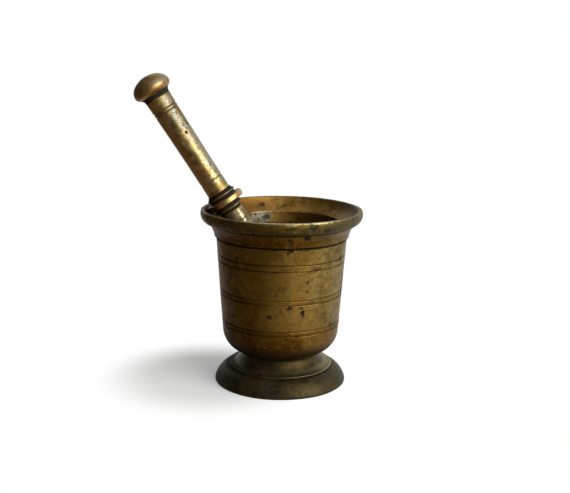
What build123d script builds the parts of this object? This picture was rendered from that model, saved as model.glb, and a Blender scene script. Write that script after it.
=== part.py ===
from build123d import *
import os
from math import cos, radians, sin, sqrt, tan

# Brass mortar and pestle.
# The bowl is turned with a spigot under it, and the spigot is riveted through a separate foot.
# The pestle is one turned piece. It leans in the bowl, on the round floor and the dished mouth.
# Millimetres, +Z up, origin on the mortar's axis in the plane that the foot stands on.
# Profiles are drawn as radius and height, and turned about the axis.

# ---- Bowl, outside ----
mortar_height = 102.6  # table to the crest of the lip
crest_width = 2.0  # flat on top of the lip, before its edges are eased
crest_easing = 0.45
lip_radius = 47.1  # widest point of the lip
lip_drop = 2.3  # crest down to that point
lip_rounding = 5.6  # radius of the lip's round edge, seen in section
lip_height = 7.5  # crest down to the line under the lip
lip_shelf = 0.7  # step in from the lip to the cove
cove_height = 7.8  # line under the lip down to the shoulder
cove_sag = 0.7  # hollow of the cove behind its chord
shoulder_overhang = 1.0  # lower edge of the cove outside the wall
wall_top_radius = 38.1  # at the shoulder
wall_taper = 4.0  # degrees, narrowing downwards
turn_radius = 13.6  # round between the wall and the underside

# ---- Bowl, inside ----
wall_thickness = 3.6
floor_thickness = 4.0  # above the foot
mouth_depth = 7.9  # crest down to the throat edge
mouth_sag = 1.15  # hollow of the mouth behind its chord

# ---- Lines scribed on the lathe ----
scribe_width = 0.62
shoulder_scribe_width = 1.1
wall_scribes = [77.0, 73.4, 56.6, 54.0, 38.1, 35.5]  # heights above the table
grip_scribes = [62.3, 60.3, 14.4]  # along the pestle, from the middle of its ring
lower_scribe = -13.6

# ---- Foot ----
foot_height = 18.3
waist_radius = 22.0
waist_edge_height = 0.6
neck_sag = 1.7  # hollow of the neck behind its chord
tier_radius = 30.6
tier_edge_height = 1.0
skirt_shelf = 0.9  # flat between the tier and the skirt
skirt_height = 9.4  # table to the top of the skirt
skirt_bulge = 1.2  # round of the skirt beyond its chord
base_radius = 38.7
base_edge_height = 1.2
standing_ring_width = 4.6
hollow_top_radius = 19.0
web_thickness = 5.0  # foot between the bowl and the hollow

# ---- Rivet joint between the bowl and the foot ----
spigot_radius = 7.0
spigot_clearance = 0.1
countersink_radius = 9.0
countersink_depth = 1.8

# ---- Pestle, measured along its axis from the middle of the ring ----
knob_top = 83.4
knob_radius = 11.3
knob_crown = 7.9  # top of the knob down to its widest
knob_core_radius = 7.6  # where the round of the knob's side is centred
knob_round = 3.2  # how far below the widest that round would reach
knob_round_turn = 62.0  # degrees of it, before the cove begins
knob_cove_sag = 0.45  # hollow of the cove behind its chord
grip_top = 69.9
grip_top_radius = 7.65
grip_waisting = 0.3  # hollow of the grip between its ends
grip_bottom_radius = 6.95
ring_radius = 11.5
ring_thickness = 3.5
ring_edge_radius = 0.8
beads = [(5.4, 7.7, 1.1), (4.1, 8.7, 1.4), (-4.5, 8.4, 1.2)]  # place, radius, thickness
bead_rounding = 0.45  # share of a bead's thickness
collar_radius = 8.1  # under the beads
collar_top = 4.8
collar_bottom = -5.2
collar_neck_radius = 6.5
collar_neck_width = 0.5
lower_shaft_radius = 7.0
flare_start = -17.0
tip_drop = 93.75
head_radius = 10.5

# ---- How the pestle rests ----
lean = 32.85  # degrees from upright
rest_gap = 0.3  # between the pestle and each surface that it rests on


def wall_radius(height):
    """Outside radius of the bowl's wall at a height."""
    return wall_top_radius - (shoulder_height - height) * tan(radians(wall_taper))


def lip_edge(height):
    """Radius of the lip's round edge at a height."""
    return lip_middle.X + sqrt(lip_rounding**2 - (height - lip_middle.Y) ** 2)


def lower_crossing(center, radius, other_center, other_radius):
    """The lower of the two points where two circles cross."""
    between = other_center - center
    along = (between.length**2 + radius**2 - other_radius**2) / (2 * between.length)
    aside = sqrt(radius**2 - along**2)
    direction = between.normalized()
    square = direction.rotate(Axis.Z, 90)
    crossings = [center + direction * along + square * side for side in (aside, -aside)]
    return min(crossings, key=lambda point: point.Y)


def scribe(plane, axis, marks, width):
    """Cuts a V line round the piece at each mark, a radius and a place along the axis."""
    with BuildSketch(plane) as lines:
        with Locations(*marks):
            Rectangle(width, width, rotation=45)
    revolve(lines.sketch, axis=axis, mode=Mode.SUBTRACT)


# ---- Bowl ----
lip_root_height = mortar_height - lip_height
shoulder_height = lip_root_height - cove_height
web_height = foot_height - web_thickness
floor_height = foot_height + floor_thickness
throat_height = mortar_height - mouth_depth
taper = radians(wall_taper)

lip_middle = Vector(lip_radius - lip_rounding, mortar_height - lip_drop)
lip_root = (lip_edge(lip_root_height), lip_root_height)
crest_outside = (lip_edge(mortar_height), mortar_height)
crest_inside = (crest_outside[0] - crest_width, mortar_height)
throat = (wall_radius(throat_height) - wall_thickness, throat_height)

# The turn is tangent to the wall and to the flat underside.
turn_top_height = foot_height + turn_radius * (1 - sin(taper))
turn_top = (wall_radius(turn_top_height), turn_top_height)
underside_radius = turn_top[0] - turn_radius * cos(taper)

# The floor is a round dish, centred on the axis and tangent to the inside wall.
floor_line_radius = wall_radius(floor_height) - wall_thickness
dish_radius = floor_line_radius * cos(taper) / (1 - sin(taper))
dish_center = Vector(0, floor_height + dish_radius)
dish_edge = (dish_radius * cos(taper), dish_center.Y - dish_radius * sin(taper))

with BuildPart() as bowl:
    with BuildSketch(Plane.XZ) as bowl_section:
        with BuildLine():
            crest = Line(crest_inside, crest_outside)
            lip = ThreePointArc(crest @ 1, (lip_radius, lip_middle.Y), lip_root)
            shelf = Line(lip @ 1, (lip_root[0] - lip_shelf, lip_root_height))
            cove = SagittaArc(
                shelf @ 1,
                (wall_top_radius + shoulder_overhang, shoulder_height),
                -cove_sag,
            )
            shoulder = Line(cove @ 1, (wall_top_radius, shoulder_height))
            wall = Line(shoulder @ 1, turn_top)
            turn = RadiusArc(wall @ 1, (underside_radius, foot_height), turn_radius)
            underside = Line(turn @ 1, (spigot_radius, foot_height))
            spigot = Line(underside @ 1, (spigot_radius, web_height + countersink_depth))
            rivet = Line(spigot @ 1, (countersink_radius - spigot_clearance, web_height))
            rivet_face = Line(rivet @ 1, (0, web_height))
            core = Line(rivet_face @ 1, (0, floor_height))
            dish = RadiusArc(core @ 1, dish_edge, -dish_radius)
            inner_wall = Line(dish @ 1, throat)
            mouth = SagittaArc(inner_wall @ 1, crest @ 0, -mouth_sag)
        make_face()
        fillet(bowl_section.vertices().group_by(Axis.Y)[-1], crest_easing)
    revolve(axis=Axis.Z)
    scribe(Plane.XZ, Axis.Z, [(wall_radius(z), z) for z in wall_scribes], scribe_width)
    scribe(Plane.XZ, Axis.Z, [(wall_top_radius, shoulder_height)], shoulder_scribe_width)
bowl.part.label = "bowl"

# ---- Foot ----
bore_radius = spigot_radius + spigot_clearance

with BuildPart() as foot:
    with BuildSketch(Plane.XZ):
        with BuildLine():
            seat = Line((bore_radius, foot_height), (waist_radius, foot_height))
            waist = Line(seat @ 1, (waist_radius, foot_height - waist_edge_height))
            neck = SagittaArc(waist @ 1, (tier_radius, skirt_height + tier_edge_height), -neck_sag)
            tier = Line(neck @ 1, (tier_radius, skirt_height))
            step = Line(tier @ 1, (tier_radius + skirt_shelf, skirt_height))
            skirt = SagittaArc(step @ 1, (base_radius, base_edge_height), skirt_bulge)
            edge = Line(skirt @ 1, (base_radius, 0))
            standing_ring = Line(edge @ 1, (base_radius - standing_ring_width, 0))
            hollow = Line(standing_ring @ 1, (hollow_top_radius, web_height))
            web = Line(hollow @ 1, (countersink_radius, web_height))
            countersink = Line(web @ 1, (bore_radius, web_height + countersink_depth))
            bore = Line(countersink @ 1, seat @ 0)
        make_face()
    revolve(axis=Axis.Z)
foot.part.label = "foot"

# ---- Rest position of the pestle, in the plane y = 0 with +X as radius ----
# The end of the head stays rest_gap above the dish and the lower edge of the ring stays rest_gap
# off the mouth. Each keeps the middle of the ring on a circle, and it rests where they cross.
tilt = radians(lean)
up_the_pestle = Vector(-sin(tilt), cos(tilt))
out_of_the_ring = Vector(-cos(tilt), -sin(tilt))
head_reach = tip_drop - head_radius

mouth_center = Vector(-mouth.arc_center.X, mouth.arc_center.Y)
edge_from_ring_middle = (
    out_of_the_ring * (ring_radius - ring_edge_radius)
    - up_the_pestle * (ring_thickness / 2 - ring_edge_radius)
)
ring_middle = lower_crossing(
    dish_center + up_the_pestle * head_reach,
    dish_radius - head_radius - rest_gap,
    mouth_center - edge_from_ring_middle,
    mouth.radius - ring_edge_radius - rest_gap,
)
pestle_plane = Plane(
    origin=(ring_middle.X, 0, ring_middle.Y),
    x_dir=(cos(tilt), 0, sin(tilt)),
    z_dir=(0, -1, 0),
)
pestle_axis = Axis(pestle_plane.origin, pestle_plane.y_dir)

# ---- Pestle ----
knob_middle = knob_top - knob_crown
neck_bottom = collar_bottom - collar_neck_width


def grip_radius(place):
    """Radius of the grip at a place along the pestle."""
    share = (place - collar_top) / (grip_top - collar_top)
    taper_radius = grip_bottom_radius + share * (grip_top_radius - grip_bottom_radius)
    return taper_radius - 4 * share * (1 - share) * grip_waisting


with BuildPart() as pestle:
    with BuildSketch(pestle_plane):
        with BuildLine():
            crown = EllipticalCenterArc(
                (0, knob_middle), knob_radius, knob_crown, 90, arc_size=-90
            )
            knob_side = EllipticalCenterArc(
                (knob_core_radius, knob_middle),
                knob_radius - knob_core_radius,
                knob_round,
                0,
                arc_size=-knob_round_turn,
            )
            knob_cove = SagittaArc(knob_side @ 1, (grip_top_radius, grip_top), -knob_cove_sag)
            grip = SagittaArc(knob_cove @ 1, (grip_bottom_radius, collar_top), -grip_waisting)
            collar_shoulder = Line(grip @ 1, (collar_radius, collar_top))
            collar = Line(collar_shoulder @ 1, (collar_radius, collar_bottom))
            neck_shoulder = Line(collar @ 1, (collar_neck_radius, collar_bottom))
            collar_neck = Line(neck_shoulder @ 1, (collar_neck_radius, neck_bottom))
            shaft_end = Line(collar_neck @ 1, (lower_shaft_radius, neck_bottom))
            shaft = Line(shaft_end @ 1, (lower_shaft_radius, flare_start))
            flare = Spline(shaft @ 1, (head_radius, -head_reach), tangents=[(0, -1), (0, -1)])
            head = RadiusArc(flare @ 1, (0, -tip_drop), head_radius)
            core = Line(head @ 1, crown @ 0)
        make_face()
    revolve(axis=pestle_axis)
    turned_rings = [(place, radius, size, size * bead_rounding) for place, radius, size in beads]
    turned_rings.append((0, ring_radius, ring_thickness, ring_edge_radius))
    for place, radius, thickness, rounding in turned_rings:
        with BuildSketch(pestle_plane) as ring_section:
            with Locations((0, place)):
                Rectangle(radius, thickness, align=(Align.MIN, Align.CENTER))
            fillet(ring_section.vertices().group_by(Axis.X)[-1], rounding)
        revolve(axis=pestle_axis)
    pestle_marks = [(grip_radius(place), place) for place in grip_scribes]
    pestle_marks.append((lower_shaft_radius, lower_scribe))
    scribe(pestle_plane, pestle_axis, pestle_marks, scribe_width)
pestle.part.label = "pestle"

os.makedirs("parts", exist_ok=True)
export_step(bowl.part, "parts/bowl.step")
export_step(foot.part, "parts/foot.step")
export_step(pestle.part, "parts/pestle.step")
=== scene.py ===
"""Looks of the brass mortar and pestle: turned skins with worn edges, aged metal with painted light and
shade, and a plain studio.
"""

from functools import reduce
from math import ceil, cos, pi, radians, sin, tau

import bmesh
import bpy
from bpy.props import FloatProperty, FloatVectorProperty, IntProperty, PointerProperty
from mathutils import Euler, Matrix, Vector, noise


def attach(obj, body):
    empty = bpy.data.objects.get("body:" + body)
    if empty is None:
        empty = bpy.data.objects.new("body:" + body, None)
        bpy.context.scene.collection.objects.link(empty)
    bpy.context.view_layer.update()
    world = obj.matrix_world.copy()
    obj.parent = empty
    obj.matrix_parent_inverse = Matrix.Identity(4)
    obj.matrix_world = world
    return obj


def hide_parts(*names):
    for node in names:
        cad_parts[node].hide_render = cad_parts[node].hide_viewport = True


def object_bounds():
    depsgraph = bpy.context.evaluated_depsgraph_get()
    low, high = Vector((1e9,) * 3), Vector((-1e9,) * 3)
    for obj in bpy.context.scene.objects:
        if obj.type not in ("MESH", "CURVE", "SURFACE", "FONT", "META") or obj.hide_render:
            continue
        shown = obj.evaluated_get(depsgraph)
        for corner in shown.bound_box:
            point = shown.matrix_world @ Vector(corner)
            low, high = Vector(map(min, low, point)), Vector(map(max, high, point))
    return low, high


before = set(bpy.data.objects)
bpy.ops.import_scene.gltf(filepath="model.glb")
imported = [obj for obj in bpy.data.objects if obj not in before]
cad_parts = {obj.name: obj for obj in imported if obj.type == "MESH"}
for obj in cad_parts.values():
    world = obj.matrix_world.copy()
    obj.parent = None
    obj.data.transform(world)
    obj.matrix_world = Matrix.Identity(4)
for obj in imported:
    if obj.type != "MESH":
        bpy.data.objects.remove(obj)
cad_low, cad_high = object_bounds()

bl_info = {
    "name": "Brass mortar and pestle",
    "version": (1, 0),
    "blender": (4, 5, 0),
    "location": "View3D > Sidebar > Mortar",
    "description": "Turns, ages and lights a footed brass mortar and its pestle",
    "category": "Add Mesh",
}

MM = 0.001


# ---------------------------------------------------------------- node trees

def feed(socket, given):
    """Links a socket to a value or another socket, or sets it to a plain number or colour."""
    given = given.socket if isinstance(given, Value) else given
    if isinstance(given, bpy.types.NodeSocket):
        socket.id_data.links.new(given, socket)
    else:
        socket.default_value = given


class Value:
    """A number in a node tree. Arithmetic on it adds Math nodes."""

    def __init__(self, tree, socket):
        self.tree = tree
        self.socket = socket

    def math(self, operation, *numbers):
        """A Math node fed with these numbers, in order."""
        node = self.tree.nodes.new("ShaderNodeMath")
        node.operation = operation
        for place, number in enumerate(numbers):
            feed(node.inputs[place], number)
        return Value(self.tree, node.outputs[0])

    def __add__(self, other):
        return self.math("ADD", self, other)

    def __sub__(self, other):
        return self.math("SUBTRACT", self, other)

    def __mul__(self, other):
        return self.math("MULTIPLY", self, other)

    def __radd__(self, other):
        return self.math("ADD", other, self)

    def __rsub__(self, other):
        return self.math("SUBTRACT", other, self)

    def at_most(self, other):
        return self.math("MINIMUM", self, other)

    def at_least(self, other):
        return self.math("MAXIMUM", self, other)

    def ramp(self, low, high, to_low=0.0, to_high=1.0):
        """A step between two places in mm."""
        return self.step(low * MM, high * MM, to_low, to_high)

    def step(self, low, high, to_low=0.0, to_high=1.0):
        """Runs smoothly from to_low at low to to_high at high, and is flat outside."""
        node = self.tree.nodes.new("ShaderNodeMapRange")
        node.interpolation_type = "SMOOTHSTEP"
        sockets = ("Value", "From Min", "From Max", "To Min", "To Max")
        for name, number in zip(sockets, (self, low, high, to_low, to_high)):
            feed(node.inputs[name], number)
        return Value(self.tree, node.outputs[0])


class Finish:
    """The node tree of a material or a world, and the ways to add nodes to it."""

    def __init__(self, owner):
        self.owner = owner
        owner.use_nodes = True
        self.tree = owner.node_tree
        self.tree.nodes.clear()

    def add(self, kind, settings=None, inputs=None, output=0):
        """A node of this kind. Its settings are made first, then its sockets are set or linked."""
        node = self.tree.nodes.new("ShaderNode" + kind)
        for name, setting in (settings or {}).items():
            setattr(node, name, setting)
        for name, given in (inputs or {}).items():
            feed(node.inputs[name], given)
        return node.outputs[output] if node.outputs else None

    def value(self, kind, settings=None, inputs=None, output=0):
        """Such a node, whose output is a number to reckon with."""
        return Value(self.tree, self.add(kind, settings, inputs, output))

    def object_place(self, middle=(0, 0, 0), turned=(0, 0, 0)):
        """Object coordinates, measured from a middle and along turned axes."""
        place = self.add("TexCoord", output=3)
        inputs = {"Vector": place, "Location": middle, "Rotation": turned}
        return self.add("Mapping", {"vector_type": "TEXTURE"}, inputs)

    def split(self, place):
        """The three numbers of a place."""
        node = self.add("SeparateXYZ", inputs={"Vector": place}).node
        return [Value(self.tree, output) for output in node.outputs]

    def distance(self, place):
        """How far a place is from the middle that it was measured from."""
        return self.value("VectorMath", {"operation": "LENGTH"}, {"Vector": place}, output=1)

    def moved(self, place, seed):
        """A place far enough off that the same pattern looks like another one."""
        away = (0.37 * seed, 0.23 * seed, 0.11 * seed)
        return self.add("Mapping", {"vector_type": "POINT"}, {"Vector": place, "Location": away})

    def noise(self, place, size, detail=4.0, roughness=0.55, distortion=0.0, seed=0):
        """Soft noise whose blots are about this size, in metres."""
        inputs = {
            "Vector": self.moved(place, seed) if seed else place,
            "Scale": 1 / size,
            "Detail": detail,
            "Roughness": roughness,
            "Distortion": distortion,
        }
        return self.value("TexNoise", inputs=inputs)

    def cells(self, place, size, output=0):
        """Cells of this size: how far it is to a cell's middle, or with output 1 a number of its own."""
        return self.value("TexVoronoi", inputs={"Vector": place, "Scale": 1 / size}, output=output)

    def layer(self, name):
        """A number that the mesh carries at its points."""
        return self.value("Attribute", {"attribute_name": name}, output=2)

    def blend(self, share, under, over, way="MIX"):
        """A colour that turns from under to over as share goes from 0 to 1."""
        settings = {"data_type": "RGBA", "blend_type": way, "clamp_factor": True}
        return self.add("Mix", settings, {0: share, 6: under, 7: over}, output=2)

    def bumps(self, *heights):
        """A normal raised by each height in turn: a value, and how far it stands up in metres."""
        normal = None
        for height, distance in heights:
            inputs = {"Height": height, "Distance": distance}
            if normal:
                inputs["Normal"] = normal
            normal = self.add("Bump", inputs=inputs)
        return normal


# ---------------------------------------------------------------- turned skins

MERGE = 0.001 * MM
RING_HEIGHT = 93.75 * MM  # middle of the pestle's ring above the end of its head
CORNER = radians(18)  # a section bends more than this only at a turned edge
BEND = radians(7)  # and more than this only where such an edge has been eased
SAMPLES = 9  # points each way that a hollow is judged by
WAVE = 22 * MM  # size of the swells of a casting that is out of true
UPRIGHT = Matrix.Identity(4)  # lathe frame of the mortar, which stands on the origin


def along_the_pestle():
    """Lathe frame of the pestle: it starts at the end of the head, and +Z runs up to the crown."""
    points = [vertex.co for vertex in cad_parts["pestle"].data.vertices]
    crown = max(points, key=lambda point: point.z)
    for _ in range(3):
        head_end = max(points, key=lambda point: (point - crown).length)
        crown = max(points, key=lambda point: (point - head_end).length)
    turn = Vector((0, 0, 1)).rotation_difference(crown - head_end)
    return Matrix.Translation(head_end) @ turn.to_matrix().to_4x4()


def cut(mesh, normal, **cleared):
    """Cuts a mesh with a plane through its axis, and clears the sides that are named."""
    geometry = mesh.verts[:] + mesh.edges[:] + mesh.faces[:]
    bmesh.ops.bisect_plane(mesh, geom=geometry, dist=MERGE, plane_co=(0, 0, 0), plane_no=normal, **cleared)


def section_face(mesh, node, lathe):
    """Fills the mesh with the flat section of a turned CAD node through its axis, in its lathe frame."""
    mesh.from_mesh(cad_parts[node].data)
    bmesh.ops.transform(mesh, matrix=lathe.inverted(), verts=mesh.verts)
    bmesh.ops.remove_doubles(mesh, verts=mesh.verts, dist=MERGE)
    cut(mesh, (0, 1, 0), clear_outer=True, clear_inner=True)
    bmesh.ops.remove_doubles(mesh, verts=mesh.verts, dist=MERGE)
    bmesh.ops.edgeloop_fill(mesh, edges=mesh.edges)


def ease_corners(mesh, easing):
    """Rounds each turned edge of a section, as handling does."""
    corners = [v for v in mesh.verts if len(v.link_edges) == 2 and v.calc_edge_angle() > CORNER]
    for corner in corners:
        room = min(edge.calc_length() for edge in corner.link_edges)
        bmesh.ops.bevel(
            mesh,
            geom=[corner],
            offset=min(easing, 0.4 * room),
            affect="VERTICES",
            segments=3,
            profile=0.5,
            material=-1,
        )


def split_long_edges(mesh, row, margin):
    """Divides a section so that no edge is longer than a row, with a narrow row beside each corner."""
    for edge in mesh.edges[:]:
        for vertex in edge.verts[:]:
            long = edge.calc_length() > 3 * margin
            if long and vertex.calc_edge_angle() > BEND:
                bmesh.utils.edge_split(edge, vertex, margin / edge.calc_length())
        cuts = ceil(edge.calc_length() / row) - 1
        if cuts > 0:
            bmesh.ops.subdivide_edges(mesh, edges=[edge], cuts=cuts)


def mark_hollows(mesh, name, reach):
    """Stores how deep each point of a section lies in a hollow, or below zero how far it stands out.

    The section's mean place within reach is compared with the point itself, along its normal.
    """
    layer = mesh.verts.layers.float.new(name)
    for loop, index, outward in section_points(mesh):
        mean = Vector()
        for way in (1, -1):
            mean += mean_ahead(loop, index, way, reach)
        loop[index][layer] = outward.dot(mean / 2 - loop[index].co) / reach


def section_points(mesh):
    """Each point of a section: the loop that it is in, its place there, and the way out of the metal."""
    for face in mesh.faces:
        loop = [corner.vert for corner in face.loops]
        for index in range(len(loop)):
            tangent = loop[(index + 1) % len(loop)].co - loop[index - 1].co
            yield loop, index, tangent.cross(face.normal).normalized()


def mean_ahead(loop, index, way, reach):
    """Mean of evenly spaced points on a section, from one of its points and over a reach."""
    total = Vector()
    here = loop[index].co
    following = loop[(index + way) % len(loop)].co
    stride = reach / SAMPLES
    left = stride
    taken = 0
    while taken < SAMPLES:
        span = (following - here).length
        if span >= left:
            here = here.lerp(following, left / span)
            total += here
            taken += 1
            left = stride
        else:
            left -= span
            here = following
            index += way
            following = loop[(index + way) % len(loop)].co
    return total / SAMPLES


def turn_section(mesh, steps):
    """Keeps one side of a section and spins it into a closed skin."""
    cut(mesh, (1, 0, 0), clear_inner=True)
    bmesh.ops.delete(mesh, geom=mesh.faces[:], context="FACES_ONLY")
    on_axis = [e for e in mesh.edges if all(abs(v.co.x) < 2 * MERGE for v in e.verts)]
    bmesh.ops.delete(mesh, geom=on_axis, context="EDGES")
    bmesh.ops.spin(
        mesh,
        geom=mesh.verts[:] + mesh.edges[:],
        cent=(0, 0, 0),
        axis=(0, 0, 1),
        angle=tau,
        steps=steps,
        use_merge=True,
    )
    bmesh.ops.remove_doubles(mesh, verts=mesh.verts, dist=MERGE)
    bmesh.ops.recalc_face_normals(mesh, faces=mesh.faces)


def mark_inside(mesh, top):
    """Stores 1 at the points of a section that face the axis or are a hollow's floor, and 0 elsewhere."""
    layer = mesh.verts.layers.float.new("inside")
    for loop, index, outward in section_points(mesh):
        place = loop[index].co
        faces_axis = (outward.x if place.x > 0 else -outward.x) < -0.05
        floor = outward.z > 0.5 and place.z < 0.5 * top and abs(place.x) < 0.7 * top
        loop[index][layer] = float(faces_axis or floor)


def waver(mesh, amount):
    """Moves a skin a little in and out of true, as an old casting is."""
    for vertex in mesh.verts:
        vertex.co += vertex.normal * amount * (noise.noise(vertex.co / WAVE) - 0.5)


# ---------------------------------------------------------------- settings

def colour(description, default):
    limits = {"size": 3, "min": 0, "max": 1}
    return FloatVectorProperty(description=description, subtype="COLOR", default=default, **limits)


def length(description, default):
    return FloatProperty(description=description, unit="LENGTH", default=default)


def share(description, default):
    return FloatProperty(description=description, subtype="FACTOR", min=0, max=1, default=default)


def number(description, default):
    return FloatProperty(description=description, default=default)


def angle(description, degrees):
    return FloatProperty(description=description, subtype="ANGLE", default=radians(degrees))


class TurningSettings(bpy.types.PropertyGroup):
    """How finely the skins are turned, and how worn their shape is"""

    steps: IntProperty(description="Faces round each piece", default=240, min=24)
    row: length("Longest face along a section", 1.4 * MM)
    easing: length("Round worn on each turned edge", 0.14 * MM)
    crease_reach: length("How wide a scribed line the dirt feels", 0.6 * MM)
    hollow_reach: length("How wide an edge the wear feels", 3.0 * MM)
    waver: length("How far the castings wander out of true", 0.12 * MM)


class BowlSettings(bpy.types.PropertyGroup):
    """Colours of the bowl, from its worn lip to the dirt in its hollows"""

    # Also painted highlights on the lip's crest and the throat's ledge.
    rubbed: colour("Bare metal on edges and where hands rub", (0.40, 0.33, 0.16))
    skin: colour("Brown skin that most of the brass has", (0.235, 0.165, 0.048))
    # Painted shade: the side of the wall away from the lamp, darker and warmer.
    warm: colour("Tint of the side that is handled less", (1.0, 0.84, 0.42))
    # Painted shade: the cove, the low wall, the left of the wall and flare, the lip's lower face and the
    # scribed lines' edges.
    smoked: colour("Tint of the cove, the low wall and the burrs", (0.62, 0.48, 0.26))
    deep: colour("Darker patches of the skin", (0.15, 0.090, 0.016))
    # Also the painted shade inside the throat, on its right.
    ruddy: colour("Reddish patches of the skin", (0.15, 0.070, 0.010))
    # Painted shade over the whole inside of the bowl.
    tawny: colour("Tint of the mouth and the inside", (0.96, 0.74, 0.42))
    olive: colour("Greenish-black skin on the lip", (0.060, 0.058, 0.028))
    rust: colour("Small reddish-black spots", (0.035, 0.012, 0.006))
    # Painted light: the middle of the wall, the flare behind and the back of the throat.
    amber: colour("Orange-brown metal of the mouth and the handled wall", (0.46, 0.27, 0.070))
    bared: colour("Pale grey metal bared inside the throat", (0.30, 0.285, 0.21))
    stain: colour("Black stains and pits", (0.011, 0.009, 0.008))
    # Also painted shade: where the pestle's ring rests, at the waist, on the throat's right, and with dirt
    # under the shoulder and the lip.
    dirt: colour("Old dirt in lines and hollows", (0.008, 0.005, 0.002))
    gloss: share("Roughness of the rubbed metal", 0.32)
    dull: share("Roughness of the brown skin", 0.46)
    mottle: share("How strongly the skin is broken up", 0.8)


class FootSettings(bpy.types.PropertyGroup):
    """Colours of the foot, which is duller and greyer than the bowl"""

    # Also painted highlights on and above the tier's edge, and painted light on the right of the skirt.
    rubbed: colour("Bare metal on the edge of the tier", (0.36, 0.29, 0.14))
    skin: colour("Grey-brown skin that most of the foot has", (0.062, 0.046, 0.022))
    deep: colour("Darker patches of the skin", (0.035, 0.027, 0.012))
    ruddy: colour("Browner patches of the skin", (0.070, 0.040, 0.010))
    neck: colour("Browner, smoother skin of the neck", (0.095, 0.062, 0.022))
    stain: colour("Black stains and pits", (0.010, 0.012, 0.008))
    # Also painted shade under the bowl and on the tier's left.
    dirt: colour("Old dirt in lines and hollows", (0.007, 0.005, 0.002))
    gloss: share("Roughness of the rubbed metal", 0.40)
    dull: share("Roughness of the skin", 0.58)
    mottle: share("How strongly the skin is broken up", 0.7)


class PestleSettings(bpy.types.PropertyGroup):
    """Colours of the pestle, which hands have kept bright"""

    # Also painted highlights as strips on the grip and the lower shaft, and painted light on the grip's
    # left.
    rubbed: colour("Bare metal on edges and where hands rub", (0.58, 0.50, 0.27))
    skin: colour("Golden skin that most of the pestle has", (0.38, 0.30, 0.125))
    deep: colour("Darker patches of the skin", (0.27, 0.18, 0.055))
    ruddy: colour("Reddish patches of the skin", (0.30, 0.14, 0.035))
    # Painted shade on the pestle's left, away from the lamp.
    tawny: colour("Tint of the side that hands rub less", (1.0, 0.72, 0.45))
    russet: colour("Tint of the knob", (0.92, 0.72, 0.55))
    # Painted shade on the left of the ring.
    oxblood: colour("Dark red skin on the left of the ring", (0.070, 0.022, 0.008))
    # Also the painted highlight on the knob.
    silver: colour("Greyish rubbed patches", (0.30, 0.275, 0.195))
    # Also painted shade on the left of the knob and of the lower shaft.
    umber: colour("Dark skin on the knob and shaft, and the grip's spots", (0.095, 0.060, 0.032))
    # Painted shade on the grip's right edge, which mirrors the bright side of the room.
    tan: colour("Tint of the duller side of the grip", (0.62, 0.56, 0.46))
    copper: colour("Reddish gold of the ring's flat band", (0.44, 0.28, 0.11))
    stain: colour("Black stains and pits", (0.020, 0.020, 0.022))
    # Also painted shadow under the knob and at the ring's left end.
    dirt: colour("Old dirt in grooves and under the knob", (0.010, 0.008, 0.007))
    gloss: share("Roughness of the rubbed metal", 0.35)
    dull: share("Roughness of the skin", 0.45)
    mottle: share("How strongly the skin is broken up", 1.2)


class StudioSettings(bpy.types.PropertyGroup):
    """Camera, lamp, floor and the light of the room"""

    eye: FloatVectorProperty(
        description="Where the camera stands",
        subtype="TRANSLATION",
        unit="LENGTH",
        default=(0.0021, -0.5478, 0.2002),
    )
    pitch: angle("How far the camera looks down", 12.354)
    roll: angle("How far the camera leans to the left", 0.727)
    lens: number("Focal length in millimetres", 60.63)
    key: number("Power of the lamp in watts", 11.0)
    key_size: length("Side of the square lamp", 0.8)
    floor: colour("Colour of the floor", (0.88, 0.88, 0.87))
    shade_near: length("How far from its middle the shadow on the floor shows in full", 0.03)
    shade_far: length("The floor is pure white from this distance", 0.071)
    shade_least: share("How much of the floor is white where it shows its shadow", 0.22)
    table: colour("Colour of the floor that the dim side of the object mirrors", (0.20, 0.15, 0.12))
    paper_edge: length("Where the bright part of the floor starts, on the right", -0.02)
    room: colour("Light from the dim side of the room", (0.10, 0.10, 0.10))
    paper: colour("Light from the pale side of the room", (0.8, 0.8, 0.8))
    dim_edge: number("Where the dim side ends, from -1 to 1", -0.15)
    pale_edge: number("Where the pale side starts, from -1 to 1", 0.85)


class MortarSettings(bpy.types.PropertyGroup):
    """Everything that the panel shows"""

    turning: PointerProperty(type=TurningSettings)
    bowl: PointerProperty(type=BowlSettings)
    foot: PointerProperty(type=FootSettings)
    pestle: PointerProperty(type=PestleSettings)
    studio: PointerProperty(type=StudioSettings)


# ---------------------------------------------------------------- brass

# Radii in mm at which marks lie: on the bowl, and on the pestle.
WALL = 38
LOW_WALL = 36
THROAT = 35
LIP = 47
GRIP = 7.2
KNOB = 10.6


def opaque(tone):
    """A stored colour as the four numbers that a socket takes."""
    return (*tone, 1.0)


def around(angle, radius, height):
    """A point of a lathe frame, at an angle in degrees round from the front, towards the right."""
    turn = radians(angle)
    return Vector((radius * sin(turn), -radius * cos(turn), height))


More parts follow.
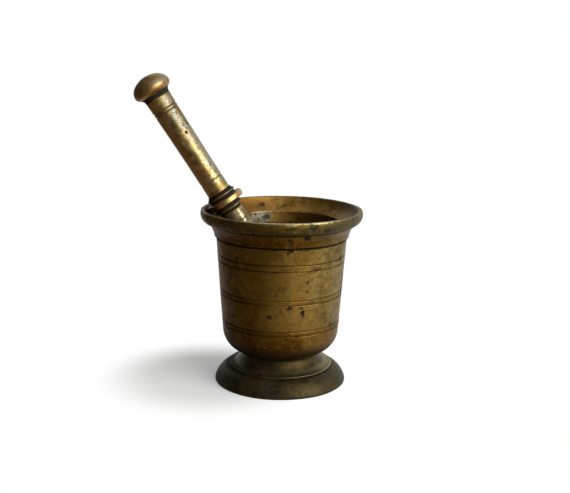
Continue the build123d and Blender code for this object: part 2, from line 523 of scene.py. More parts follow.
class Brass(Finish):
    """Old brass: a brown skin, with coats of bared metal, stain and dirt laid over it in turn, and painted
    highlights and painted shade among them.
    """

    BASE = 0.0  # where heights are counted from
    SMOOTHEST = 0.18  # roughness that no wear goes below
    ROUGHEST = 0.9  # roughness that no dirt goes above
    STAIN_ROUGHNESS = 0.7
    DIRT_ROUGHNESS = 0.75
    DIRT_SHINE = 0.06  # how little the stains and the dirt, which aren't metal, mirror
    PIT_DEPTH = 0.10 * MM

    def __init__(self, name, tones, middle=(0, 0, 0), turned=(0, 0, 0)):
        super().__init__(bpy.data.materials.new(name))
        self.tones = tones
        self.place = self.object_place(middle, turned)
        self.across, self.back, self.height = self.split(self.place)
        self.crease = self.layer("crease")
        self.hollow = self.layer("hollow")
        self.patches = self.noise(self.place, 19 * MM, detail=5, roughness=0.6, distortion=0.5)
        self.drifts = self.noise(self.place, 11 * MM, detail=5, roughness=0.6, seed=3)
        self.clouds = self.noise(self.place, 4.2 * MM, detail=5, roughness=0.62, seed=1)
        self.specks = self.noise(self.place, 1.9 * MM, detail=3, roughness=0.6, seed=2)
        self.grit = self.noise(self.place, 0.8 * MM, detail=2)
        self.turning = self.streaks(30, 16 * MM, detail=3, roughness=0.65)
        self.metal = 1.0
        self.rough = tones.dull + (self.clouds - 0.5) * 0.22 + (self.turning - 0.5) * 0.14
        self.tone = self.skin()
        self.relief = [
            (self.clouds, 0.16 * MM),
            (self.specks, 0.07 * MM),
            (self.turning, 0.05 * MM),
            (self.grit, 0.02 * MM),
        ]

    def streaks(self, squeeze, size, **pattern):
        """Noise squeezed along the axis into rings, or drawn out along it where the squeeze is below 1."""
        inputs = {"Vector": self.place, "Scale": (1, 1, squeeze)}
        return self.noise(self.add("Mapping", {"vector_type": "POINT"}, inputs), size, **pattern)

    def skin(self):
        """The skin's own colour: deeper and ruddier patches, broken up by every pattern."""
        tones = self.tones
        tone = self.blend(self.patches.step(0.38, 0.62), opaque(tones.skin), opaque(tones.deep))
        tone = self.blend(self.drifts.step(0.46, 0.74, 0.0, 0.6), tone, opaque(tones.ruddy))
        mottle = (self.drifts - 0.5) * 0.9 + (self.clouds - 0.5) * 1.7 + (self.specks - 0.5) * 1.2
        mottle = mottle + (self.turning - 0.5) * 0.7 + (self.grit - 0.5) * 0.6
        mottle = (mottle * tones.mottle + 1.0).at_least(0.25)
        grey = self.add("CombineColor", inputs={"Red": mottle, "Green": mottle, "Blue": mottle})
        return self.blend(1.0, tone, grey, "MULTIPLY")

    def coat(self, share, tone, rough, metal=1.0):
        """Lays a coat over what is there, as thick as its share."""
        self.tone = self.blend(share, self.tone, opaque(tone))
        self.rough = self.rough + share * (rough - self.rough)
        self.metal = self.metal + share * (metal - self.metal)

    def tint(self, share, tint):
        """Colours what is there and keeps its pattern."""
        self.tone = self.blend(share, self.tone, opaque(tint), "MULTIPLY")

    def wear(self, share):
        """Bares the metal; at some places this bright coat is a painted highlight."""
        self.coat(share, self.tones.rubbed, self.tones.gloss)

    def stain(self, share, depth=0.03 * MM):
        """Lays a dark stain that has eaten a little into the metal."""
        self.coat(share, self.tones.stain, self.STAIN_ROUGHNESS, 0.0)
        self.relief.append((1 - share, depth))

    def soil(self, share):
        """Lays a dark coat over what is there: old dirt, and at some places painted shade."""
        self.coat(share, self.tones.dirt, self.DIRT_ROUGHNESS, 0.0)

    def rise(self, start, end):
        """Runs from 0 to 1 between two heights in mm above the base, upwards or downwards."""
        return self.height.step(self.BASE + start * MM, self.BASE + end * MM)

    def band(self, low, high, ease=0.6):
        """1 between two heights in mm above the base, fading over an ease, and 0 outside."""
        low, high, ease = self.BASE + low * MM, self.BASE + high * MM, ease * MM
        return self.height.step(low - ease, low + ease) * self.height.step(high + ease, high - ease)

    def marks(self, *marks):
        """How strongly a place lies in any of these marks, whose outlines are ragged.

        Each has its angle in degrees, its radius, its height and its size per axis in mm, and its strength.
        """
        ragged = (self.specks - 0.5) * 1.5 + (self.grit - 0.5) * 0.7
        found = []
        for angle, radius, height, *size, strength in marks:
            middle = around(angle, radius * MM, self.BASE + height * MM)
            inputs = {"Vector": self.place, "Location": middle, "Scale": [side * MM for side in size]}
            near = self.add("Mapping", {"vector_type": "TEXTURE"}, inputs)
            found.append((self.distance(near) + ragged).step(1.15, 0.55, 0.0, strength))
        return reduce(Value.at_least, found)

    def pits(self, size, share, seed):
        """Scattered pits: some cells of this size hold one, as many as the share says."""
        place = self.moved(self.place, seed)
        ragged = (self.specks - 0.5) * 0.16
        near = (self.cells(place, size) + ragged).step(0.24, 0.12)
        chosen = self.cells(place, size, output=1).step(1 - share, 1 - share + 0.04)
        return near * chosen

    def lines(self):
        """Dirt in scribed lines and sharp inner corners, thinner in some places than in others."""
        kept = self.drifts.step(0.30, 0.62, 0.45, 1.0)
        return (self.crease + (self.grit - 0.5) * 0.05).step(0.06, 0.20) * kept

    def finished(self):
        """The material, once every coat is on."""
        inputs = {
            "Base Color": self.tone,
            "Metallic": self.metal,
            "Roughness": self.rough.at_least(self.SMOOTHEST).at_most(self.ROUGHEST),
            "Specular IOR Level": self.DIRT_SHINE,
            "Normal": self.bumps(*self.relief),
        }
        self.add("OutputMaterial", inputs={"Surface": self.add("BsdfPrincipled", inputs=inputs)})
        return self.owner


class BowlBrass(Brass):
    """Brown brass, with painted shade darkest in the cove and at the waist, worn on the lip with a painted
    highlight along its crest, and with a few deep stains.
    """

    def __init__(self, tones):
        super().__init__("bowl_finish", tones)
        self.inside = self.layer("inside")
        self.outside = 1 - self.inside
        self.mottle = self.clouds * 0.5 + self.specks * 0.5
        self.low = self.rise(50, 26)
        self.shade_and_light_wall()
        self.streak_wall()
        self.smudge_wall()
        self.age_and_shade_mouth()
        self.age_and_light_lip()
        self.stain_wall()
        self.age_and_light_throat()
        self.fill_and_shade_grooves()

    def shade_and_light_wall(self):
        """Painted shade to the left and low down, and painted light in the middle of the wall."""
        across, outside, tones = self.across, self.outside, self.tones
        left = across.ramp(8, -24)
        # Painted shade: darker and warmer to the left, away from the lamp, and darker low down where the
        # wall turns under.
        self.tint(across.ramp(24, 2) * outside, tones.warm)
        self.tint(self.low * outside, tones.smoked)
        self.tint(self.low * left * outside, tones.smoked)
        self.tint(left * outside * 0.25, tones.smoked)
        # Painted light: the handled mask brightens the middle of the wall with orange-brown metal.
        handled = across.ramp(-16, 0) * across.ramp(24, 4) * self.band(38, 86, 3)
        self.coat(handled * (1 - self.mottle).step(0.36, 0.62) * outside * 0.52, tones.amber, 0.44)

    def streak_wall(self):
        """Streaks and dashes round the wall, as a lathe leaves, and broader dark blotches."""
        streaks = self.streaks(2.6, 4.5 * MM, detail=5, roughness=0.72, seed=9)
        self.soil(streaks.step(0.55, 0.70) * self.outside * 0.6)
        self.wear(streaks.step(0.46, 0.34) * self.outside * 0.12)
        dashes = self.streaks(9, 6 * MM, detail=4, roughness=0.7, seed=12)
        self.soil(dashes.step(0.57, 0.66) * self.outside * 0.6)
        blotches = self.streaks(1.5, 7 * MM, detail=6, roughness=0.72, seed=15)
        self.coat(blotches.step(0.50, 0.64) * self.outside * 0.7, self.tones.deep, self.tones.dull)

    def smudge_wall(self):
        """Grimy patches, each in its place on the wall."""
        smudges = self.marks(
            (58, WALL, 83, 5, 5, 2.6, 0.7),
            (76, WALL, 60, 5, 6, 9, 0.5),
            (20, WALL, 86, 6, 4, 1, 0.6),
            (-12, WALL, 79, 5, 4, 1, 0.6),
            (14, WALL, 71.6, 3, 4, 0.9, 0.6),
            (30, 37, 55.3, 5, 4, 1.2, 0.55),
            (4, 37, 52.6, 3, 4, 0.9, 0.6),
            (-24, WALL, 83, 6, 5, 2.2, 0.45),
            (-6, WALL, 66, 4, 4, 1.6, 0.4),
            (2, WALL, 38, 5, 5, 1.4, 0.45),
            (-34, WALL, 56, 6, 5, 2.2, 0.4),
            (42, WALL, 36, 4, 4, 1.6, 0.4),
        )
        self.soil(smudges * self.mottle.step(0.40, 0.54))

    def age_and_shade_mouth(self):
        """Painted shade over the inside, painted light on the flare behind, and painted shade on the flare's
        left and in the cove outside.
        """
        across, tones = self.across, self.tones
        flare = self.rise(93, 96) * self.inside
        # Painted shade over the whole inside of the bowl, darker and warmer.
        self.tint(self.inside, tones.tawny)
        # Painted light: orange-brown on the lit middle of the flare behind.
        middle = across.ramp(32, 0) * across.ramp(-30, -8, 0.3, 1.0)
        self.coat(flare * self.patches.step(0.38, 0.54) * middle * 0.75, tones.amber, 0.46)
        # Painted shade on the flare's left.
        self.tint(flare * across.ramp(8, -24) * 0.75, tones.smoked)
        self.wear(flare * self.mottle.step(0.50, 0.62) * 0.12)
        self.soil(flare * (self.mottle * 0.5 + self.drifts * 0.5).step(0.52, 0.60) * 0.45)
        # Painted shade in the cove below the lip, lighter towards the lamp.
        cove = self.band(87.5, 95.2, 1.0) * self.outside
        self.tint(cove * across.ramp(36, 16, 0.4, 1.0), tones.smoked)

    def age_and_light_lip(self):
        """Greenish-black skin on the outer face of the lip, painted shade towards its lower edge, and a
        painted highlight along the crest on the lamp's side.
        """
        across, back, mottle, tones = self.across, self.back, self.mottle, self.tones
        rim = (across * across + back * back).step((41 * MM) ** 2, (43.5 * MM) ** 2)
        lip = self.rise(94.8, 95.4) * rim
        lip = lip * self.outside.at_least(across.ramp(28, 40))
        self.coat(lip * 0.75, tones.deep, 0.52)
        self.coat(lip * self.drifts.step(0.44, 0.62) * 0.6, tones.olive, 0.55)
        self.wear(lip * mottle.step(0.54, 0.66) * 0.3)
        self.soil(lip * mottle.step(0.48, 0.38) * 0.6)
        spots = self.marks(
            (6, LIP, 99.8, 4.2, 3, 1.4, 0.8),
            (22, LIP, 100, 3.6, 3, 2, 0.85),
            (33, LIP, 98, 3.4, 3, 1.8, 0.8),
            (-20, LIP, 98.4, 5, 3, 1.6, 0.6),
        )
        self.coat(spots, tones.olive, 0.55)
        self.coat(lip * across.ramp(8, 18) * self.outside * 0.4, tones.olive, 0.55)
        # Painted shade: the lip's face darkens towards its lower edge.
        self.tint(lip * self.rise(99.6, 96.6) * self.outside * 0.6, tones.smoked)
        self.soil(spots * mottle.step(0.42, 0.54) * 0.7)
        # Painted highlight: the crest is bared bright only on the lamp's side.
        lamp_side = (across * 0.21 - back * 0.98).ramp(35, 45, 0.12, 1.0)
        crest = (self.hollow * -1 + (mottle - 0.5) * 0.3).step(0.19, 0.29)
        self.wear(crest * self.rise(99.6, 101) * lamp_side * 0.85)
        self.wear(mottle.step(0.58, 0.70) * self.outside * 0.25)

    def stain_wall(self):
        """Scattered pits, and the deep stains and rusty spots that have their own places."""
        self.soil(self.clouds.step(0.64, 0.74) * 0.45)
        self.stain(self.pits(9 * MM, 0.3, 2) * 0.75, self.PIT_DEPTH)
        self.coat(self.pits(3.4 * MM, 0.22, 7) * 0.75, self.tones.rust, 0.6, 0.2)
        stains = self.marks(
            (7.7, WALL, 85.6, 2, 2, 1.2, 1),
            (5.8, WALL, 84.6, 1.3, 1.3, 2, 0.9),
            (8, 40, 90.5, 1.1, 1.6, 3, 0.7),
            (20.1, 42, 92.9, 2.6, 2.6, 1.5, 0.85),
            (32.6, WALL, 74.1, 4, 4, 1.5, 0.6),
            (7.7, LOW_WALL, 52.4, 1.9, 2, 1.6, 0.9),
            (20.2, LOW_WALL, 49.4, 2, 2, 2.4, 1),
            (19, LOW_WALL, 52.4, 1.4, 2, 1.2, 0.7),
            (65.7, WALL, 77.3, 3, 2, 4.5, 0.6),
            (-13.6, WALL, 64.4, 4, 3, 1.6, 0.4),
        )
        self.stain(stains, self.PIT_DEPTH)
        rust = self.marks(
            (23.6, WALL, 67, 1.8, 1.8, 1.4, 0.9),
            (24, WALL, 61.7, 1.7, 1.7, 1.3, 0.9),
            (9, WALL, 61.1, 1, 1, 0.9, 0.6),
            (-9.9, LOW_WALL, 47.3, 2, 2, 1.6, 0.95),
            (-29, 43, 91.6, 1.5, 1.5, 1, 0.9),
        )
        self.coat(rust, self.tones.rust, 0.6, 0.2)

    def age_and_light_throat(self):
        """Painted shade on the right, painted shadow where the pestle's ring rests, stains, painted light at
        the back, a bared grey patch behind, and a painted highlight on the ledge.
        """
        inside, tones = self.inside, self.tones
        # Painted shade on the throat's right, away from the lamp: ruddy and dark.
        shade = self.marks(
            (135, THROAT, 91.4, 18, 14, 4.8, 1),
            (148, THROAT, 91.5, 14, 11, 4.6, 0.9),
        )
        self.coat(shade * inside, tones.ruddy, 0.6)
        self.soil(shade * inside * 0.5)
        # Painted shadow where the pestle's ring lies against the mouth.
        rest = self.marks(
            (-92, 40, 99.5, 12, 17, 6, 0.95),
            (-80, 40, 99.5, 12, 14, 6, 0.95),
        )
        self.soil(rest * inside)
        flare_stains = self.marks(
            (-161.8, 39.8, 98.7, 2.6, 3, 2, 0.8),
            (161.7, 41.2, 99.7, 2.8, 2, 1.2, 0.7),
            (178.3, 39.1, 98, 2.6, 2.4, 1.6, 0.75),
            (-174.7, 40.9, 99.5, 2.2, 1.8, 0.9, 0.6),
            (163.4, 34.7, 90.4, 1, 1, 1, 0.9),
        )
        self.stain(flare_stains)
        # Painted light: orange-brown on the lit back of the throat.
        glow = self.marks((-177, THROAT, 91.2, 9, 5, 4, 0.85))
        self.coat(glow * inside, tones.amber, 0.42)
        bared = self.marks(
            (-152, THROAT, 91.8, 4.2, 4.2, 3.2, 1),
            (-160, THROAT, 91.4, 4.2, 4.2, 3.4, 1),
            (-165, THROAT, 91.4, 2.6, 4.2, 3.2, 1),
        )
        self.coat(bared * inside, tones.bared, 0.5, 0.6)
        polished = self.marks((-148, THROAT, 92.6, 3.6, 3.6, 2, 0.9))
        self.wear(polished * bared * inside)
        self.stain(self.mottle.step(0.49, 0.57) * bared * inside * 0.85)
        blackened = self.marks((-165, THROAT, 91.6, 2.6, 3, 2, 0.8))
        self.stain(blackened * bared * inside)
        # Painted highlight along the throat's ledge.
        ledge = self.marks((-160, THROAT, 94.7, 8, 4, 0.5, 0.7))
        self.wear(ledge * inside)

    def fill_and_shade_grooves(self):
        """Dirt in the scribed lines, dirt and painted shadow under the shoulder and the lip, and painted
        shade at the waist and on the scribed lines' edges.
        """
        outside, tones = self.outside, self.tones
        ragged = self.height + (self.clouds - 0.5) * 1.4 * MM + (self.specks - 0.5) * 1.0 * MM
        # Dirt and painted shadow under the overhanging shoulder and lip.
        under_shoulder = ragged.ramp(85.4, 86.5) * self.rise(87.9, 87.3)
        under_lip = ragged.ramp(94.0, 94.7) * self.rise(96.2, 95.2)
        # Painted shade where the bowl turns under towards the foot.
        waist = self.rise(31, 20.5) * outside
        # Painted shade on the scribed lines' edges, which would catch the lamp.
        scribe_edge_shade = (self.crease * -1).step(0.06, 0.14) * self.band(30, 84) * outside
        self.tint(scribe_edge_shade * 0.7, tones.smoked)
        self.tint(scribe_edge_shade * self.low * 0.8, tones.smoked)
        self.soil(self.lines() * outside)
        self.soil((under_shoulder * 0.95).at_least(under_lip * 0.8) * outside)
        self.soil(waist * 0.85)


class FootBrass(Brass):
    """Dull grey-brown skin, browner on the neck, with a painted highlight on the tier's edge on the right,
    painted light on the right of the skirt, and painted shade on the tier's left and under the bowl.
    """

    def __init__(self, tones):
        super().__init__("foot_finish", tones)
        across = self.across
        neck = self.rise(9.8, 10.6)
        self.coat(neck * 0.55, tones.neck, 0.46)
        self.coat(self.clouds.step(0.5, 0.7) * 0.25, tones.ruddy, tones.dull)
        # Painted highlights: the tier's edge and the band above it are bared bright only right of the
        # middle.
        edge = (self.hollow * -1 + (self.clouds - 0.5) * 0.10).step(0.02, 0.12) * self.band(9, 11)
        self.wear(edge * across.ramp(-12, 8) * 0.85)
        self.wear(self.band(10.4, 12.2, 0.8) * across.ramp(-20, 6) * 0.4)
        # Painted shade on the tier's left.
        self.soil(self.band(8.8, 11.4) * across.ramp(-14, -26) * 0.7)
        self.wear(neck * self.clouds.step(0.50, 0.66) * 0.12)
        self.soil(self.clouds.step(0.58, 0.70) * 0.5)
        # Painted light: the skirt is paler on its right, towards the lamp.
        self.coat(across.ramp(10, 34) * (1 - neck) * 0.06, tones.rubbed, tones.dull)
        smudges = self.marks(
            (24, 34, 9, 4, 4, 1.6, 0.7),
            (-28, 27, 12.5, 5, 4, 2.4, 0.6),
            (-8, 37, 4.5, 6, 3, 2.4, 0.5),
            (48, 26, 13.5, 4, 4, 2, 0.5),
            (150, 36, 5, 6, 6, 2, 0.6),
        )
        self.soil(smudges)
        self.stain(self.pits(6 * MM, 0.15, 4) * 0.7, self.PIT_DEPTH)
        self.soil(self.lines() * 0.9)
        # Painted shade under the bowl's overhang, at the top of the neck.
        under_bowl = self.rise(15.8, 18.2)
        self.soil(under_bowl * 0.9)


class PestleBrass(Brass):
    """Brass polished by hands, rubbed grey in patches, with old dirt in its grooves, dirt and painted shadow
    under the knob, painted shade on its left, and painted highlights on the knob, the grip and the lower
    shaft.
    """

    BASE = RING_HEIGHT
    PIT_DEPTH = 0.08 * MM

    def __init__(self, tones, lathe):
        super().__init__("pestle_finish", tones, lathe.to_translation(), lathe.to_euler())
        self.grip = self.band(8, 69, 1.0)
        self.knob = self.rise(70, 73)
        self.along = self.streaks(0.45, 3.6 * MM, detail=4, roughness=0.7, seed=5)
        self.flecks = self.specks * 0.5 + self.grit * 0.5
        self.patina()
        self.age_and_light_knob()
        worn = self.rub_and_shade_grip()
        self.age_and_light_shaft()
        self.spot_and_light_grip(worn)
        self.colour_and_shade_ring()
        self.pack_and_shade_grooves()

    def spots(self, *spots):
        """Marks on the grip: each has its angle, its height, its width, how tall it is, and its strength."""
        return self.marks(*((spot[0], GRIP, spot[1], spot[2], *spot[2:]) for spot in spots))

    def patina(self):
        """Painted shade to the left, with a paler painted coat on the grip's left, russet on the knob, and
        rubbed in streaks along the grip.
        """
        across, knob, tones = self.across, self.knob, self.tones
        # Painted light and painted shade on the side away from the lamp: a paler coat on the grip's left,
        # then a darker, redder tint.
        self.coat(across.ramp(1.0, -4.0) * self.grip * 0.4, tones.rubbed, tones.gloss)
        self.tint(across.ramp(2.0, -4.5) * 0.85 * (1 - knob * 0.7), tones.tawny)
        self.coat(knob * 0.25, tones.rubbed, tones.gloss)
        self.tint(knob, tones.russet)
        self.wear((self.along * 0.7 + self.patches * 0.3).step(0.50, 0.66) * (1 - knob * 0.6) * 0.25)

    def age_and_light_knob(self):
        """A darker crown, painted shade on the left side, a few stains, and a painted highlight in greyer
        metal where the knob shines.
        """
        tones = self.tones
        self.coat(self.rise(77, 81) * 0.2, tones.umber, 0.42)
        # Painted shade on the knob's left.
        self.coat(self.knob * self.across.ramp(1, -9) * 0.25, tones.umber, 0.42)
        stains = self.spots(
            (-3, 82, 4.4, 2.4, 0.6),
            (-62, 79, 4, 3, 0.6),
            (16, 81, 1.6, 1, 0.5),
            (-30, 80, 2.6, 2, 0.5),
        )
        self.stain(stains)
        # Painted highlight: greyer metal where the lamp's highlight lies on the knob.
        painted_knob_highlight = self.marks(
            (24, KNOB, 77.6, 3.6, 3.6, 1.5, 0.8),
            (40, KNOB, 77.2, 3.6, 3.6, 1.5, 0.9),
            (54, KNOB, 76.8, 3.6, 3.6, 1.5, 0.8),
        )
        self.coat(painted_knob_highlight, tones.silver, tones.gloss)
        side = self.marks((80, KNOB, 78.5, 3.6, 3.6, 1.5, 0.6))
        self.coat(side * self.clouds.step(0.42, 0.54), tones.silver, 0.5)

    def rub_and_shade_grip(self):
        """Grey rubbed patches and flecks on the grip, with grime between them, and painted shade on its
        right edge. Gives the patches back.
        """
        across, grip, tones = self.across, self.grip, self.tones
        worn = self.spots(
            (40, 65.5, 4.6, 3.4, 0.75),
            (36, 56, 2.8, 7.5, 1),
            (42, 48.5, 3, 3.6, 1),
            (38, 42, 2.4, 5, 0.6),
            (62, 38, 2.2, 10, 0.8),
            (52, 34, 2.6, 7, 0.7),
            (54, 24, 3.6, 6.5, 1),
            (66, 15, 2.4, 5, 0.8),
            (50, 13, 1.6, 4, 0.5),
            (-120, 44, 4, 9, 0.9),
            (160, 22, 4, 8, 0.8),
            (-60, 20, 2.4, 5, 0.5),
        )
        # Painted shade on the grip's right edge, which mirrors the bright side of the room.
        self.tint(across.ramp(3.0, 6.4) * grip, tones.tan)
        rubbed = worn.at_least(self.along.step(0.58, 0.70) * across.ramp(-2, 4) * 0.8) * grip
        self.coat(rubbed, tones.silver, 0.46, 0.9)
        self.coat(self.flecks.step(0.53, 0.66) * grip * 0.55, tones.deep, tones.dull)
        self.coat(self.flecks.step(0.46, 0.36) * grip * 0.25, tones.rubbed, tones.gloss)
        grime = (self.clouds * 0.5 + self.flecks * 0.5).step(0.51, 0.62)
        self.soil(grime * across.ramp(3.5, -2, 0.2, 1.0) * grip * 0.22)
        return worn

    def age_and_light_shaft(self):
        """The lower shaft, grey on the right, with painted shade on its left and two painted highlights as
        bright strips.
        """
        across, tones = self.across, self.tones
        shaft = self.rise(-6, -8)
        self.coat(shaft * self.clouds.step(0.38, 0.54) * across.ramp(-2, 5) * 0.6, tones.silver, 0.42)
        # Painted shade on the shaft's left.
        self.coat(shaft * across.ramp(4, -3) * 0.55, tones.umber, 0.46)
        self.stain(shaft * self.clouds.step(0.44, 0.58) * 0.7)
        # Painted highlights: two bright strips right of the middle.
        self.wear(shaft * self.spots((44, -12, 1.6, 4.5, 0.9), (46, -22, 1.6, 4, 0.7)))

    def spot_and_light_grip(self, worn):
        """Flecks in the rubbed patches, painted highlights as bright strips between them, brown spots,
        stains and pits.
        """
        self.stain(self.flecks.step(0.52, 0.60) * worn * 0.75)
        # Painted highlights: bright strips where the lamp's highlight runs down the grip.
        polished = self.spots(
            (30, 15, 2.2, 4.6, 1),
            (27, 25, 1.8, 5, 0.8),
            (25, 35, 1.6, 5, 0.6),
        )
        self.wear(polished * (1 - self.flecks).step(0.42, 0.54) * 0.6)
        brown = self.spots(
            (2, 52.5, 2.6, 3.2, 1),
            (14, 47.5, 1.4, 1.6, 0.8),
            (12, 57, 1.4, 2, 0.7),
            (-22, 40, 1.8, 4, 0.6),
            (-18, 61.5, 2.2, 1.2, 0.7),
            (8, 41, 1.2, 1.4, 0.6),
            (-8, 46, 1.8, 2, 0.7),
            (-10, 34, 2, 2.2, 0.7),
            (-10, 28, 1.8, 2.4, 0.6),
            (1, 58.5, 1.6, 2, 0.6),
            (150, 50, 3, 4, 0.7),
        )
        self.coat(brown * 0.6, self.tones.umber, self.tones.dull)
        self.stain(self.clouds.step(0.62, 0.72) * 0.45)
        self.stain(self.pits(3.2 * MM, 0.22, 6) * 0.7, self.PIT_DEPTH)
        self.stain(self.spots((32, 45.1, 0.9, 1.2, 1), (64, 49, 0.8, 0.8, 0.8)), self.PIT_DEPTH)

    def colour_and_shade_ring(self):
        """Coppery on the ring's flat band, with painted shade in dark red on its left and painted shadow at
        its left end, where it meets the lip.
        """
        band = self.band(-1.7, 1.7, 0.2)
        self.coat(band * 0.85, self.tones.copper, 0.34)
        # Painted shade on the ring's left.
        self.coat(band * self.across.ramp(-1, -7) * 0.7, self.tones.oxblood, 0.45)
        # Painted shadow where the ring's left end meets the lip.
        self.soil(band * self.across.ramp(-6.5, -9.5) * 0.75)

    def pack_and_shade_grooves(self):
        """Packs dirt beside the ring, and dirt with painted shadow under the knob, less on the collars'
        right and on the beads.
        """
        ragged = self.height + (self.specks - 0.5) * 0.7 * MM

        def between(bare, full, still_full, bare_again):
            """1 between two ragged edges, in mm above the middle of the ring."""
            start = ragged.step(RING_HEIGHT + bare * MM, RING_HEIGHT + full * MM)
            return start * ragged.step(RING_HEIGHT + bare_again * MM, RING_HEIGHT + still_full * MM)

        above = between(1.6, 1.9, 6.2, 6.7)
        below = between(-1.6, -1.9, -6.2, -7.4)
        # The cove under the knob holds dirt and a painted shadow.
        cove = between(68.9, 70.0, 72.0, 73.0)
        beads = self.band(3.95, 4.25, 0.16).at_least(self.band(-4.7, -4.4, 0.16))
        self.soil(self.lines() * 0.6)
        packed = above.at_least(below).at_least(cove)
        collars = self.band(3.3, 4.6, 0.3).at_least(self.band(-5.2, -3.9, 0.3))
        packed = packed * (1 - collars * self.across.ramp(-5, 3) * 0.4) * (1 - beads * 0.9)
        self.soil(packed * 0.95)
        self.stain(packed * self.across.ramp(0, 5) * 0.5)


# ---------------------------------------------------------------- pieces

def placed(name, data):
    """A new object in the scene, at the origin, that shows this data."""
    new = bpy.data.objects.new(name, data)
    bpy.context.scene.collection.objects.link(new)
    return new


def stored(name, mesh):
    """The mesh's data under this name. The working mesh is given up."""
    data = bpy.data.meshes.new(name)
    mesh.to_mesh(data)
    mesh.free()
    return data


def turned_skin(name, node, lathe):
    """A finely turned skin over a CAD node, worn and in its place, that stands for the node."""
    turning = bpy.context.scene.mortar.turning
    mesh = bmesh.new()
    section_face(mesh, node, lathe)
    ease_corners(mesh, turning.easing)
    split_long_edges(mesh, turning.row, turning.easing)
    mark_hollows(mesh, "crease", turning.crease_reach)
    mark_hollows(mesh, "hollow", turning.hollow_reach)
    mark_inside(mesh, max(vertex.co.z for vertex in mesh.verts))
    turn_section(mesh, turning.steps)
    waver(mesh, turning.waver)
    bmesh.ops.transform(mesh, matrix=lathe, verts=mesh.verts)
    skin = stored(name, mesh)
    skin.shade_smooth()
    piece = placed(name, skin)
    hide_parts(node)
    return piece


def dress(piece, finish, body):
    """Gives a skin its finish and the body that it moves with."""
    piece.data.materials.append(finish)
    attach(piece, body)


class MORTAR_OT_bowl(bpy.types.Operator):
    """Turn the bowl and give it its worn brown brass"""

    bl_idname = "mortar.bowl"
    bl_label = "Bowl"

    def execute(self, context):
        piece = turned_skin("bowl_skin", "bowl", UPRIGHT)
        dress(piece, BowlBrass(context.scene.mortar.bowl).finished(), "mortar")
        return {"FINISHED"}


class MORTAR_OT_foot(bpy.types.Operator):
    """Turn the foot and give it its dull grey-brown skin"""

    bl_idname = "mortar.foot"
    bl_label = "Foot"

    def execute(self, context):
        piece = turned_skin("foot_skin", "foot", UPRIGHT)
        dress(piece, FootBrass(context.scene.mortar.foot).finished(), "mortar")
        return {"FINISHED"}


class MORTAR_OT_pestle(bpy.types.Operator):
    """Turn the pestle and give it its hand-polished brass"""

    bl_idname = "mortar.pestle"
    bl_label = "Pestle"

    def execute(self, context):
        lathe = along_the_pestle()
        piece = turned_skin("pestle_skin", "pestle", lathe)
        dress(piece, PestleBrass(context.scene.mortar.pestle, lathe).finished(), "pestle")
        return {"FINISHED"}


# ---------------------------------------------------------------- studio

KEY_SPOT = Vector((0.72, -0.62, 0.60))  # where the lamp stands
FLOOR_REACH = 6.0  # half a side of the floor
DARKEST = (-0.043, 0.0, 0)  # middle of the object's shadow on the floor
SENSOR = 36  # width of the camera's sensor in mm
WHITE = (1, 1, 1, 1)


def square_lamp(studio):
    """A soft square lamp to the right and in front, turned towards the lower part of the object."""
    lamp = bpy.data.lights.new("key", "AREA")
    lamp.shape = "SQUARE"
    lamp.size = studio.key_size
    lamp.energy = studio.key
    stand = placed("key", lamp)
    stand.location = KEY_SPOT
    stand.rotation_mode = "QUATERNION"
    aim = Vector((0, 0, cad_high.z / 3))
    stand.rotation_quaternion = (aim - KEY_SPOT).to_track_quat("-Z", "Y")


def light_path(finish, *rays):
    """1 for light that travels as any of these rays, and 0 for the rest."""
    path = finish.add("LightPath").node
    return reduce(Value.at_least, [Value(finish.tree, path.outputs[ray]) for ray in rays])


def pale_floor(studio):
    """A wide flat floor that keeps the object's shadow near it, and is white further off."""
    mesh = bmesh.new()
    bmesh.ops.create_grid(mesh, x_segments=1, y_segments=1, size=FLOOR_REACH)
    plane = stored("floor", mesh)
    floor = placed("floor", plane)
    finish = Finish(bpy.data.materials.new("pale_floor"))
    place = finish.object_place(DARKEST)
    across, back, _ = finish.split(place)
    paper = (across * 0.8 + back * 0.6).step(studio.paper_edge - 0.1, studio.paper_edge + 0.2)
    camera = light_path(finish, "Is Camera Ray")
    mirror = light_path(finish, "Is Glossy Ray", "Is Transmission Ray")
    pale = finish.blend(paper.at_least(camera), opaque(studio.table), opaque(studio.floor))
    white = finish.distance(place).step(studio.shade_near, studio.shade_far, studio.shade_least, 1.0)
    white = white * camera.at_least(mirror * paper)
    matt = finish.add("BsdfDiffuse", inputs={"Color": pale})
    glow = finish.add("Emission", inputs={"Color": WHITE, "Strength": 1.0})
    shader = finish.add("MixShader", inputs={0: white, 1: matt, 2: glow})
    finish.add("OutputMaterial", inputs={"Surface": shader})
    plane.materials.append(finish.owner)


def studio_air(studio):
    """The world: white paper behind and to the right of the object, and a dim room on its other side."""
    world = bpy.data.worlds.new("studio")
    finish = Finish(world)
    way = finish.add("TexCoord", output=0)
    across, back, up = finish.split(way)
    lit = (across * 0.66 + back * 0.05 + up * 0.50).step(studio.dim_edge, studio.pale_edge)
    air = finish.blend(lit, opaque(studio.room), opaque(studio.paper))
    behind = (back + across * 0.4).step(0.3, 0.8)
    behind = behind * light_path(finish, "Is Glossy Ray", "Is Transmission Ray")
    seen = behind.at_least(light_path(finish, "Is Camera Ray"))
    air = finish.blend(seen, air, WHITE)
    sky = finish.add("Background", inputs={"Color": air, "Strength": 1.0})
    finish.add("OutputWorld", inputs={"Surface": sky})
    bpy.context.scene.world = world


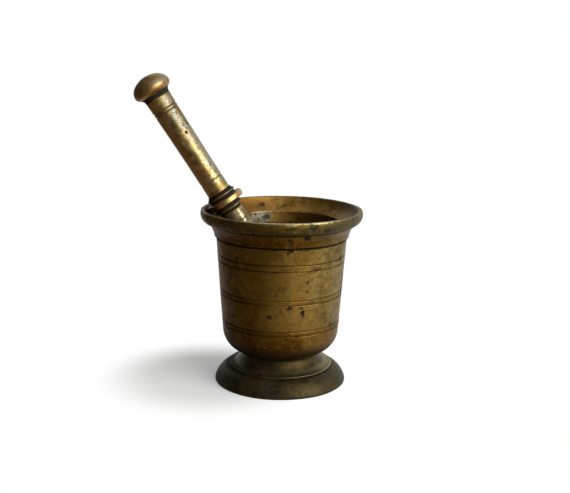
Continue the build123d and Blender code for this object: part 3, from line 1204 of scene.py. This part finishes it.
class MORTAR_OT_studio(bpy.types.Operator):
    """Set the floor, the lamp, the light of the room and the camera"""

    bl_idname = "mortar.studio"
    bl_label = "Studio"

    def execute(self, context):
        studio = context.scene.mortar.studio
        scene = context.scene
        square_lamp(studio)
        pale_floor(studio)
        studio_air(studio)
        eye = bpy.data.cameras.new("camera")
        eye.lens = studio.lens
        eye.sensor_width = SENSOR
        camera = placed("camera", eye)
        camera.location = studio.eye
        level = Euler((pi / 2 - studio.pitch, 0, 0)).to_matrix()
        camera.rotation_euler = (level @ Matrix.Rotation(studio.roll, 3, "Z")).to_euler()
        scene.camera = camera
        scene.view_settings.view_transform = "Standard"
        return {"FINISHED"}


class VIEW3D_PT_mortar(bpy.types.Panel):
    """Sizes, colours and buttons of the mortar and pestle"""

    bl_label = "Mortar and pestle"
    bl_idname = "VIEW3D_PT_mortar"
    bl_space_type = "VIEW_3D"
    bl_region_type = "UI"
    bl_category = "Mortar"

    def draw(self, context):
        settings = context.scene.mortar
        for group in ("turning", "bowl", "foot", "pestle", "studio"):
            box = self.layout.box()
            box.label(text=group.title())
            owner = getattr(settings, group)
            for name in owner.__annotations__:
                box.prop(owner, name, text=name.replace("_", " ").capitalize())
        for operator in OPERATORS:
            self.layout.operator(operator.bl_idname)


OPERATORS = (MORTAR_OT_bowl, MORTAR_OT_foot, MORTAR_OT_pestle, MORTAR_OT_studio)
SETTINGS = (TurningSettings, BowlSettings, FootSettings, PestleSettings, StudioSettings, MortarSettings)


def register():
    for kind in (*SETTINGS, *OPERATORS, VIEW3D_PT_mortar):
        bpy.utils.register_class(kind)
    bpy.types.Scene.mortar = PointerProperty(type=MortarSettings)


def unregister():
    del bpy.types.Scene.mortar
    for kind in reversed((*SETTINGS, *OPERATORS, VIEW3D_PT_mortar)):
        bpy.utils.unregister_class(kind)


def main():
    register()
    bpy.ops.mortar.bowl()
    bpy.ops.mortar.foot()
    bpy.ops.mortar.pestle()
    bpy.ops.mortar.studio()


if __name__ == "__main__":
    main()
